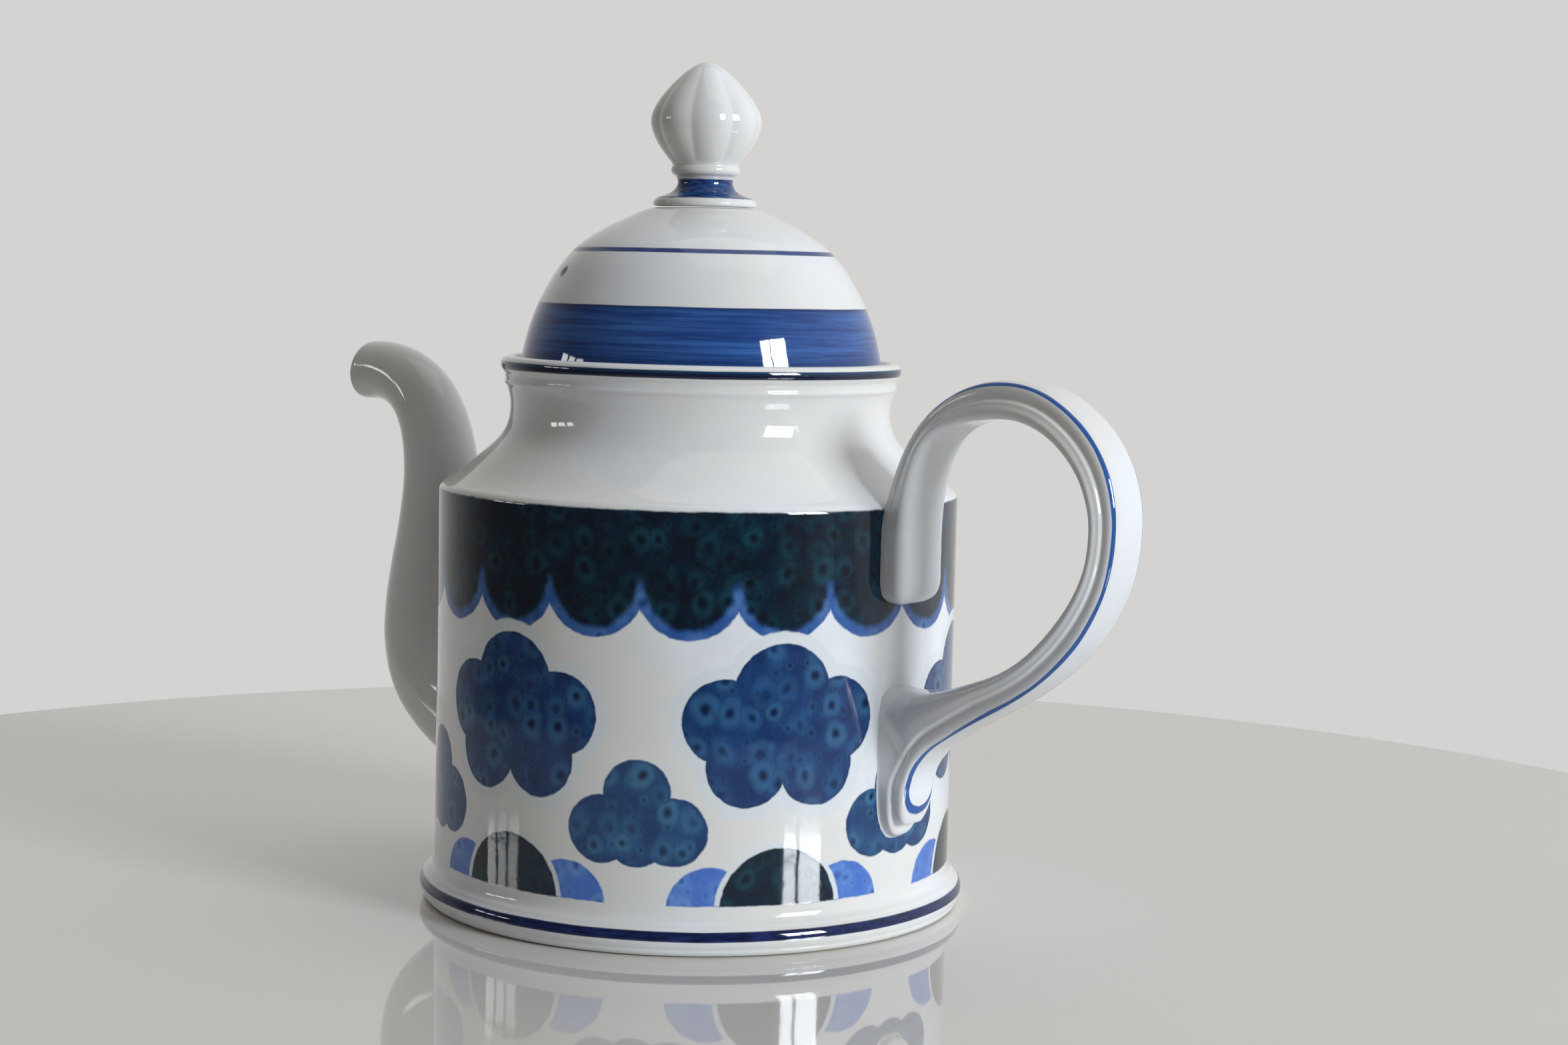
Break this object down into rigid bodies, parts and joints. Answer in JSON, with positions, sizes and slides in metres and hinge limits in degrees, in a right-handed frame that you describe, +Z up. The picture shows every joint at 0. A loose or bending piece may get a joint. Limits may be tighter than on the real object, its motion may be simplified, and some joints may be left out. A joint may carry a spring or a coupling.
{
  "type": "teapot",
  "caption": "Cylindrical porcelain pot with a domed lift-off lid, ribbed knob, swan-neck spout and moulded strap handle, painted with scalloped cloud shapes in blues under a clear glaze.",
  "frame": {"origin": "middle of the foot ring, on the surface that the pot stands on", "axes": "+Z up, +X towards the handle, -X towards the spout"},
  "size_m": [0.2638, 0.1436, 0.2188],
  "materials": {
    "body_glaze": "clear glossy glaze over white porcelain painted in dark navy, cobalt, teal blue and periwinkle scallops",
    "spout_glaze": "clear glossy glaze over white porcelain",
    "handle_glaze": "clear glossy glaze over white porcelain with two thin blue lines",
    "lid_glaze": "clear glossy glaze over white porcelain with a brushed cobalt band and a thin line",
    "knob_glaze": "clear glossy glaze over white porcelain, blue round the waist"
  },
  "bodies": {
    "pot": {"body": "body_glaze", "spout": "spout_glaze", "handle": "handle_glaze"},
    "lid": {"lid": "lid_glaze", "knob": "knob_glaze"}
  },
  "joints": [
    {"name": "lid_lift", "type": "slide", "parent": "pot", "child": "lid", "axis": [0, 0, 1], "range_m": [0, 0.05]}
  ]
}
